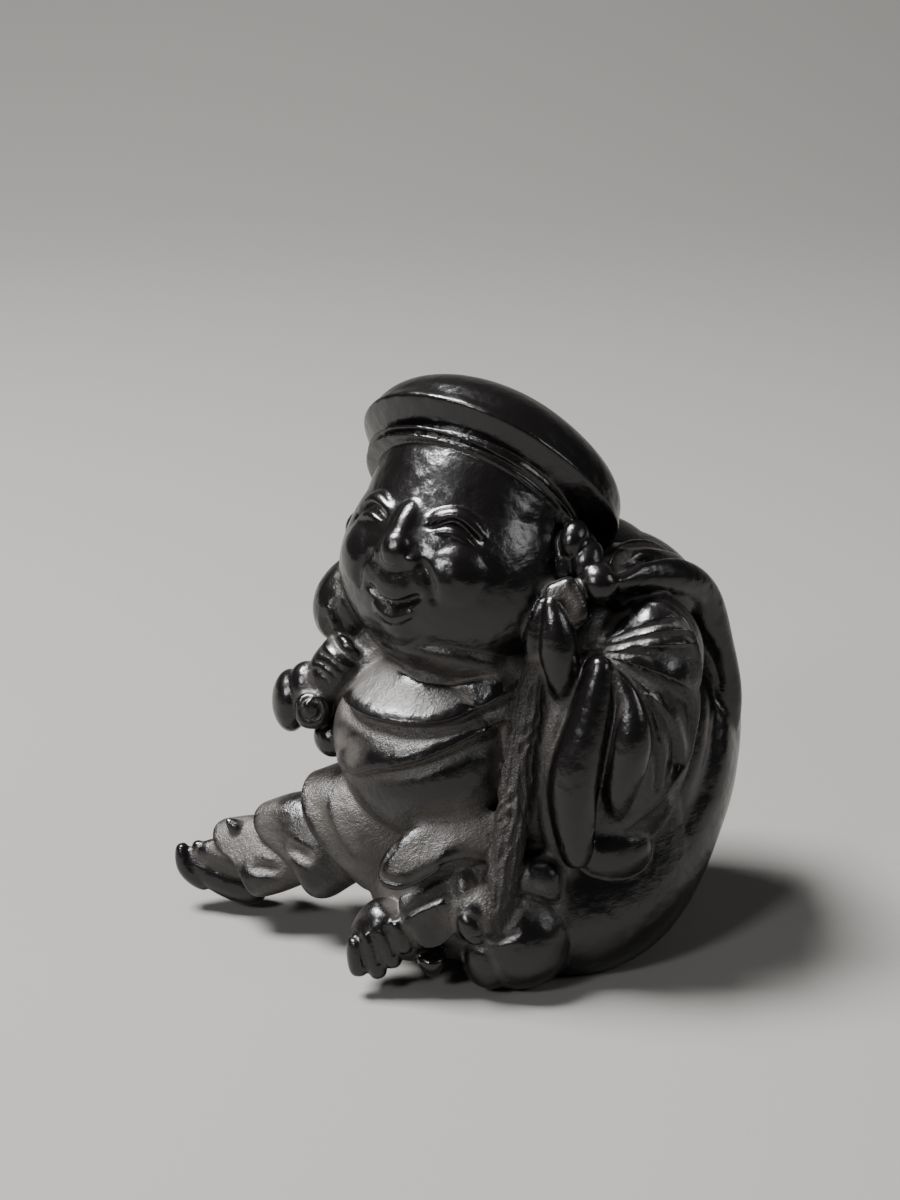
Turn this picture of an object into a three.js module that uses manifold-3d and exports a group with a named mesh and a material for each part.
// A small carved wooden figure of a laughing lucky god, seated and leaning back on a round sack.
// The whole figure is one piece of dark wood, so it is one closed solid.
// Frame: Z up, the figure looks along -Y and its left hand is on +X. The origin is the bottom
// centre of the bounding box. Pose and carving are given in parts, about 98 to the height, and the
// finished solid is brought to its real height at the end.
import * as THREE from "three";
import { mergeVertices } from "three/addons/utils/BufferGeometryUtils.js";
import Module from "manifold-3d";

const FIGURE_HEIGHT = 41; // mm, from the standing plane to the top of the cap

const HEAD_TURN = 11; // degrees the face is turned to the figure's left
const HEAD_NOD = -35; // degrees the face is thrown back
const HEAD_RADIUS = 19; // parts
const HAT_RADIUS = 21.5; // parts, at the rim
const HEAD_CENTRE = [-4.5, 5.6, 66.8];
const HAT_CENTRE = [-7.6, 14.9, 79.7];
const HAT_NOD = -50; // degrees the cap is tipped back
const HAT_TIP = 0.3; // radians round the cap's own axis to its soft point
const BELLY_CENTRE = [-3, -1.5, 36.5];
const BELLY = 16; // radius of the bare belly, parts
const SACK_CENTRE = [3.7, 23.9, 33];
const SACK_NECK = [0.16, -0.85, 0.5]; // side of the sack that is gathered into the neck
const SLEEVE_WRIST = [-0.67, -0.56, 0.49]; // side of the sleeve that its pleats run from
const VIEW_TURN = 45; // degrees, the way the left sleeve and the sack face
const CUT = 150; // parts, larger than the whole figure

const UPRIGHT = [0, 0, 1];
const FACING = [0, -1, 0];
const TO_VIEW = [0.7, -0.7, 0];

const SACK_FOLDS = 9; // gathers that run down from the neck of the sack
const SLEEVE_PLEATS = 10; // pleats that fan out from the left wrist
const TIER_WAVES = 4; // waves round the hem of one trouser flounce

const wasm = await Module();
wasm.setup();

const { degToRad, lerp, smoothstep, clamp } = THREE.MathUtils;
const vec = (list) => new THREE.Vector3(...list);
const bump = (distance, width) => Math.exp(-((distance / width) ** 2));
/** A fold with a soft back and a steep front, between 0 and 1, once per turn. */
const fold = (turns) => {
  const share = turns - Math.floor(turns);
  return share < 0.72 ? share / 0.72 : (1 - share) / 0.28;
};

/** A frame at a place, turned about Z, then tilted about X, then leaned about Y, in degrees. */
function frameAt(at, { turn = 0, tilt = 0, lean = 0 } = {}) {
  const spin = new THREE.Euler(degToRad(tilt), degToRad(lean), degToRad(turn), "ZXY");
  return new THREE.Matrix4().makeRotationFromEuler(spin).setPosition(...at);
}

/** Carries each corner of a unit ball to its place and closes the result as a solid. */
function carve([around, along], place, frame) {
  const shell = new THREE.SphereGeometry(1, around, along).rotateX(Math.PI / 2);
  shell.deleteAttribute("normal");
  shell.deleteAttribute("uv");
  const ball = mergeVertices(shell, 1e-5);
  const corner = ball.getAttribute("position");
  const spot = new THREE.Vector3();
  for (let i = 0; i < corner.count; i += 1) {
    const out = place(spot.fromBufferAttribute(corner, i).clone());
    if (frame) out.applyMatrix4(frame);
    corner.setXYZ(i, out.x, out.y, out.z);
  }
  return new wasm.Manifold(new wasm.Mesh({
    numProp: 3,
    vertProperties: Float32Array.from(corner.array),
    triVerts: Uint32Array.from(ball.index.array),
  }));
}

/** A rounded body: an ellipsoid of three half sizes, its skin pushed out by relief(skin, grid).
 *  The lines of its grid run together at the given pole, so folds can fan out from there. */
function lump(at, half, faces, { turn, tilt, lean, relief, frame, pole = [0, 0, 1] } = {}) {
  const own = frameAt(at, { turn, tilt, lean });
  const aim = new THREE.Quaternion().setFromUnitVectors(new THREE.Vector3(0, 0, 1), vec(pole).normalize());
  const size = vec(half);
  const place = (grid) => {
    const skin = grid.clone().applyQuaternion(aim);
    const point = skin.clone().multiply(size);
    if (!relief) return point;
    return point.addScaledVector(skin.clone().divide(size).normalize(), relief(skin, grid));
  };
  return carve(faces, place, frame ? own.premultiply(frame) : own);
}

/** A round cushion turned about its own Z axis, with a crisp edge at its widest line.
 *  reach(angle) is the radius, up and down the half heights, sag how much lower both are
 *  toward the side that the x axis of the frame points to. */
function cushion(faces, frame, { reach, up, down, sag = 0, top = 0.3, foot = 0.3, inset = 0 }) {
  return carve(faces, (d) => {
    const angle = Math.atan2(d.y, d.x);
    const ring = Math.sqrt(Math.max(0, 1 - d.z * d.z));
    const wide = reach(angle) * ring ** (d.z > 0 ? top : foot) * (d.z > 0 ? 1 : 1 + inset * d.z);
    const full = (d.z > 0 ? up : -down) * (1 - sag * ring * Math.cos(angle));
    return new THREE.Vector3(wide * Math.cos(angle), wide * Math.sin(angle), full * Math.abs(d.z) ** 0.85);
  }, frame);
}

/** A body swept along a smooth path through the given points, with round or blunt ends.
 *  thick(t) is the radius, flat the share of it kept across the side direction. */
function limb(points, thick, faces, { side = UPRIGHT, flat = 1, blunt = 0.5, frame, ripple } = {}) {
  const path = new THREE.CatmullRomCurve3(points.map(vec), false, "centripetal");
  const radius = typeof thick === "function" ? thick : () => thick;
  const place = (d) => {
    const t = clamp((1 - d.z) / 2, 0, 1);
    const ring = Math.sqrt(Math.max(0, 1 - d.z * d.z));
    const angle = Math.atan2(d.y, d.x);
    const ahead = path.getTangentAt(t);
    const across = new THREE.Vector3().crossVectors(ahead, vec(side)).normalize();
    const up = new THREE.Vector3().crossVectors(across, ahead);
    const wave = ripple ? ripple(t, angle) : { out: 0, shift: 0 };
    const reach = ring > 1e-6 ? (radius(t) + wave.out) * ring ** blunt : 0;
    return path.getPointAt(t)
      .addScaledVector(ahead, wave.shift * ring)
      .addScaledVector(across, flat * reach * Math.cos(angle))
      .addScaledVector(up, reach * Math.sin(angle));
  };
  return carve(faces, place, frame);
}

/** A flounce of a trouser leg: a bell that opens toward its slanted, waving hem. */
function tier(points, start, hem, faces, { slant = 0, phase = 0, wave = 0.7, side } = {}) {
  return limb(points, (t) => lerp(start, hem, t ** 1.4), faces, {
    side,
    blunt: 0.3,
    ripple: (t, angle) => ({
      out: wave * t * Math.cos(TIER_WAVES * angle + phase),
      shift: t ** 3 * (slant * Math.sin(angle) + wave * Math.sin(TIER_WAVES * angle + phase)),
    }),
  });
}

/** A closed box of the given size, its centre at a place of the given frame. */
function block(size, at, frame) {
  const box = new THREE.BoxGeometry(...size).translate(...at);
  box.deleteAttribute("normal");
  box.deleteAttribute("uv");
  const merged = mergeVertices(box, 1e-5);
  if (frame) merged.applyMatrix4(frame);
  return new wasm.Manifold(new wasm.Mesh({
    numProp: 3,
    vertProperties: Float32Array.from(merged.getAttribute("position").array),
    triVerts: Uint32Array.from(merged.index.array),
  }));
}

/** Cuts away all of a solid that lies below the ground plane of the given frame. */
const cutBelow = (solid, frame) => solid.subtract(block([CUT, CUT, CUT], [0, 0, -CUT / 2], frame));

function buildSack() {
  const body = lump(SACK_CENTRE, [29, 21, 38], [26, 14], {
    turn: VIEW_TURN,
    tilt: -24,
    lean: 6,
    pole: SACK_NECK,
    relief: (skin, grid) => {
      const gathers = 1.1 * bump(grid.z - 0.75, 0.4) * Math.sin(SACK_FOLDS * Math.atan2(grid.y, grid.x));
      return gathers + 9 * smoothstep(-skin.z, 0.3, 1) * smoothstep(-skin.y, -0.3, 0.8);
    },
  });
  const neck = limb([[16, 31, 58], [16.3, 19, 66], [16.8, 9, 65.5]], (t) => lerp(12, 3.2, t ** 0.8), [18, 6], {
    ripple: (t, angle) => ({ out: 0.7 * Math.sin(SACK_FOLDS * angle), shift: 0 }),
  });
  const mouth = lump([16.6, 6.6, 66], [2.6, 2.8, 3.6], [6, 5], { turn: 20, tilt: 10 });
  return [body, neck, mouth];
}

function buildTorso() {
  const ball = (grow, faces) => lump(BELLY_CENTRE, [BELLY + grow, BELLY + grow, BELLY + grow], faces);
  const swag = (grow, at, radius) => ball(grow, [16, 11]).intersect(lump(at, [radius, radius, radius], [16, 11]));
  return [
    ball(0, [16, 11]),
    lump([-3.5, 4.5, 48], [18, 13, 13], [12, 8], { tilt: -15 }),
    lump([-2, 0, 54], [13, 12, 5], [14, 6], { tilt: -20 }),
    lump([13.5, 5, 36], [7, 7, 18], [8, 7]),
    lump([-14, -1.5, 45], [7.5, 8.5, 12], [8, 6]),
    lump([14, 14, 52], [9, 9, 12], [8, 6]),
    swag(1.3, [-6, -12, 62], 25.5),
    swag(2.4, [-5, -11, 70], 25.5),
  ];
}

/** A place on the head's ball, in the head's own frame, lifted off it by a given amount. */
function onHead(x, z, lift = 0) {
  const k = 1 + lift / HEAD_RADIUS;
  return [x * k, -k * Math.sqrt(HEAD_RADIUS ** 2 - x * x - z * z), z * k];
}

/** A ball sunk in the head so that its top stands a given height above the skin. */
function bulge(x, z, radius, height, faces, frame) {
  return lump(onHead(x, z, height - radius), [radius, radius, radius], faces, { frame });
}

/** A long ear with a heavy lobe; the ear that shows also has its two upper rolls. */
function buildEar(s, frame) {
  const ear = [
    lump([18 * s, 2.5, 4.5], [3, 5, 6], [7, 5], { frame }),
    lump([23.4 * s, 4.8, 2.8], [3.3, 3.4, 3.4], [8, 6], { frame }),
  ];
  const rolls = [[19.6 * s, -0.2, 7.6], [21.2 * s, 2, 5.8]];
  return s < 0 ? ear : [...ear, ...rolls.map((at) => lump(at, [2.6, 2.8, 2.9], [7, 5], { frame }))];
}

function buildHead() {
  const frame = frameAt(HEAD_CENTRE, { turn: HEAD_TURN, tilt: HEAD_NOD });
  const parts = [
    lump([0, 0, 0], [HEAD_RADIUS, HEAD_RADIUS, HEAD_RADIUS], [18, 14], {
      frame,
      relief: (skin) => 0.9 * bump(skin.z + 0.42, 0.36),
    }),
    lump([0.5, 3, 9], [17.8, 17.5, 14], [14, 8], { frame }),
    lump(onHead(0, -4.4, -0.1), [2.9, 2.9, 3.4], [8, 7], { frame, tilt: 12 }),
    limb([onHead(0, 4.6, -1.8), onHead(0, 0.6, -1), onHead(0, -4, 0.2)], 2.3, [8, 5], { frame, side: FACING }),
    bulge(0, -10, 8, 1.3, [12, 8], frame),
    bulge(0, -15.4, 5, 1.6, [10, 7], frame),
    limb([onHead(-4.2, -12.8, 0.3), onHead(0, -14.5, 0.7), onHead(4.2, -12.8, 0.3)], 1.25, [8, 6], { frame }),
  ];
  for (const s of [-1, 1]) {
    parts.push(
      lump(onHead(2.8 * s, -5.9, -0.2), [2, 2.1, 1.7], [6, 4], { frame }),
      bulge(9.6 * s, -6.4, 8, 1.7, [12, 8], frame),
      limb([onHead(3.2 * s, 0.9, -0.7), onHead(7.8 * s, 3, -0.3), onHead(12.6 * s, 0.8, -0.7)], 1.5, [6, 6], { frame }),
      limb([onHead(3.8 * s, -1.3, -0.5), onHead(7.8 * s, 0.1, -0.2), onHead(12 * s, -1.4, -0.5)], 1.1, [5, 6], { frame }),
      ...buildEar(s, frame),
    );
  }
  const smile = limb([onHead(-5.6, -9.8, 1.4), onHead(0, -12.4, 1.6), onHead(5.6, -9.8, 1.4)], 0.8, [5, 8], { frame });
  return { parts, smile };
}

/** The soft flat cap: a crown that comes to a soft point at one side, over a double band. */
function buildHat() {
  const at = (lower) => frameAt(HAT_CENTRE, { turn: HEAD_TURN, tilt: HAT_NOD })
    .multiply(new THREE.Matrix4().makeRotationZ(HAT_TIP).setPosition(0, 0, 0))
    .multiply(new THREE.Matrix4().makeTranslation(0, 0, -lower));
  const ring = (lower, radius, half) => cushion([20, 4], at(lower), { reach: () => radius, up: half, down: half });
  return [
    cushion([24, 9], at(0), {
      reach: (angle) => HAT_RADIUS * (1 + 0.1 * bump(angle, 0.5)),
      up: 10,
      down: 4.8,
      sag: 0.3,
      top: 1.1,
      foot: 0.35,
      inset: 0.12,
    }),
    ring(4.8, HAT_RADIUS - 2.4, 1.4),
    ring(6.6, HAT_RADIUS - 3, 1.3),
  ];
}

function buildRightLeg() {
  return [
    tier([[-3, 0, 20], [-11, -5, 21], [-20.5, -10.2, 19.4]], 12, 11, [13, 8], { slant: 2 }),
    tier([[-14, -7, 17], [-21, -10, 16], [-28, -13, 13.8]], 7, 8.8, [13, 7], { slant: 2, phase: 1 }),
    tier([[-23, -11, 14], [-29, -14, 12], [-35.6, -16.8, 9.6]], 5.4, 7.6, [13, 7], { slant: 2, phase: 2 }),
    limb([[-30.5, -12.5, 3.8], [-38, -18, 6.2], [-43.6, -22, 8.8]], (t) => lerp(6, 3.2, t), [10, 7]),
    lump([-43.8, -23, 9.8], [2.6, 2.4, 2.8], [7, 5]),
    lump([-43.6, -19.8, 9.6], [1.9, 1.9, 2], [6, 4]),
    lump([-43.4, -17.4, 9.2], [1.8, 1.8, 1.9], [6, 4]),
  ];
}

function buildLeftLeg() {
  const toes = [[-0.8, -22, 4.6], [1.6, -21.8, 3.6], [3.8, -20.4, 4.2], [5.6, -18.4, 5.6]];
  return [
    lump([15.5, -1, 8.8], [9.3, 9.3, 9.4], [14, 10]),
    lump([14.6, -6.6, 6.6], [5, 5, 6], [8, 7]),
    tier([[14, -3, 14], [13, -7, 15], [11.6, -10.6, 15.4]], 6.6, 8, [12, 7], { slant: 1 }),
    tier([[12, -9, 13.5], [9, -13, 12.6], [6, -16.4, 11.4]], 5.4, 7.4, [12, 7], { slant: 1, phase: 1.5 }),
    limb([[6, -14, 13], [3.6, -18.6, 10.5], [2.4, -21.2, 6.6]], (t) => lerp(4.6, 4.2, t), [10, 7]),
    ...toes.map((at) => lump(at, [1.9, 2, 3], [6, 5], { turn: VIEW_TURN, tilt: -20 })),
  ];
}

function buildLap() {
  return [
    lump([2, -2, 14], [17, 13, 13], [14, 8]),
    limb([[-5, -12, 20], [-0.8, -15, 18], [5, -13.4, 21], [9, -10.8, 24], [15, -6.6, 22]], 3.2, [8, 11]),
  ];
}

function buildRightArm() {
  return [
    limb([[-10, 6, 57], [-18, 1, 58], [-20.6, -4, 55]], (t) => lerp(9, 6.2, t), [12, 7]),
    tier([[-20.4, -2, 58], [-20.6, -4.4, 54.6], [-19.6, -7, 50.8]], 5.6, 6.2, [14, 7], { side: FACING, wave: 0.3 }),
    limb([[-19.6, -6, 51], [-19.8, -9.6, 48.4], [-19.4, -13, 45]], (t) => lerp(5, 4.2, t), [10, 7], { side: FACING }),
    lump([-18.4, -13.6, 42.4], [4, 4, 4.2], [10, 7]),
    lump([-23.4, -12.6, 43.6], [3, 3.8, 5.8], [10, 7], { turn: VIEW_TURN }),
    lump([-27, -13.2, 41.8], [3.2, 4.2, 5.8], [10, 7], { turn: VIEW_TURN }),
    lump([-17, -6, 38], [5, 6, 6], [8, 6]),
  ];
}

function buildLeftArm() {
  return [
    lump([22.6, 18.4, 39.6], [12, 10, 23.5], [SLEEVE_PLEATS * 4, 7], {
      turn: VIEW_TURN,
      lean: 11,
      pole: SLEEVE_WRIST,
      relief: (skin, grid) => {
        const turns = Math.atan2(grid.y, grid.x) / (2 * Math.PI);
        return 1.6 * smoothstep(-grid.z, -0.98, -0.6) * (fold(SLEEVE_PLEATS * turns) - 0.6);
      },
    }),
    limb([[25, 8.6, 57], [24.1, 5.6, 48], [23.8, 3.4, 35.7], [25.5, 5, 21]],
      (t) => 2.5 + 1.1 * Math.sin(Math.PI * t), [8, 9], { side: TO_VIEW }),
    limb([[19.5, 5, 50], [18.6, 2.4, 39.8], [19.6, 1.2, 31], [23.4, 3.4, 21]], 2.2, [6, 9], { side: TO_VIEW }),
    limb([[22, 12, 55], [21.4, 7.6, 55], [19, 5, 47]], (t) => lerp(5, 2.4, t), [8, 6], { side: TO_VIEW }),
    limb([[20, 5.4, 53], [18, 4.2, 60], [15.6, 5, 66]], (t) => 2.4 - 0.5 * t, [8, 7], { side: TO_VIEW }),
    limb([[17.4, 4.4, 53], [15.8, 3.6, 60], [13.8, 4.4, 64.8]], 1.7, [8, 6], { side: TO_VIEW }),
    limb([[15.6, 3.2, 53], [14, 3.2, 58], [12.8, 4, 61.4]], 1.6, [8, 6], { side: TO_VIEW }),
  ];
}

function buildStrip() {
  return [limb(
    [[15.8, 3, 51], [16.4, -1, 40], [16.6, -4.4, 28], [15.6, -8.6, 16], [15, -10.6, 9]],
    (t) => lerp(1.7, 3, t), [6, 9], { side: TO_VIEW, flat: 0.9 })];
}

const head = buildHead();
const forms = [
  ...buildSack(),
  ...buildTorso(),
  ...buildLap(),
  ...buildRightLeg(),
  ...buildLeftLeg(),
  ...buildRightArm(),
  ...buildLeftArm(),
  ...head.parts,
  ...buildHat(),
  ...buildStrip(),
];

/** Turns a closed solid into a faceted geometry of the given height, on the middle of its base. */
function toGeometry(solid, height) {
  const mesh = solid.getMesh();
  const geometry = new THREE.BufferGeometry();
  geometry.setAttribute("position", new THREE.BufferAttribute(Float32Array.from(mesh.vertProperties), 3));
  geometry.setIndex(new THREE.BufferAttribute(Uint32Array.from(mesh.triVerts), 1));
  geometry.computeBoundingBox();
  const { min, max } = geometry.boundingBox;
  const scale = height / (max.z - min.z);
  geometry.translate(-(min.x + max.x) / 2, -(min.y + max.y) / 2, -min.z).scale(scale, scale, scale);
  geometry.computeVertexNormals();
  return geometry;
}

const joined = forms.reduce((sum, form) => sum.add(form));
const solid = cutBelow(joined.subtract(head.smile)).decompose().filter((shell) => shell.volume() > 0)
  .sort((first, second) => second.volume() - first.volume())[0];

const figure = new THREE.Mesh(
  toGeometry(solid, FIGURE_HEIGHT),
  new THREE.MeshStandardMaterial({ color: 0x231c19, roughness: 0.4, metalness: 0 }),
);
figure.name = "daikoku_figure";

const group = new THREE.Group();
group.name = "figure";
group.add(figure);
export default group;
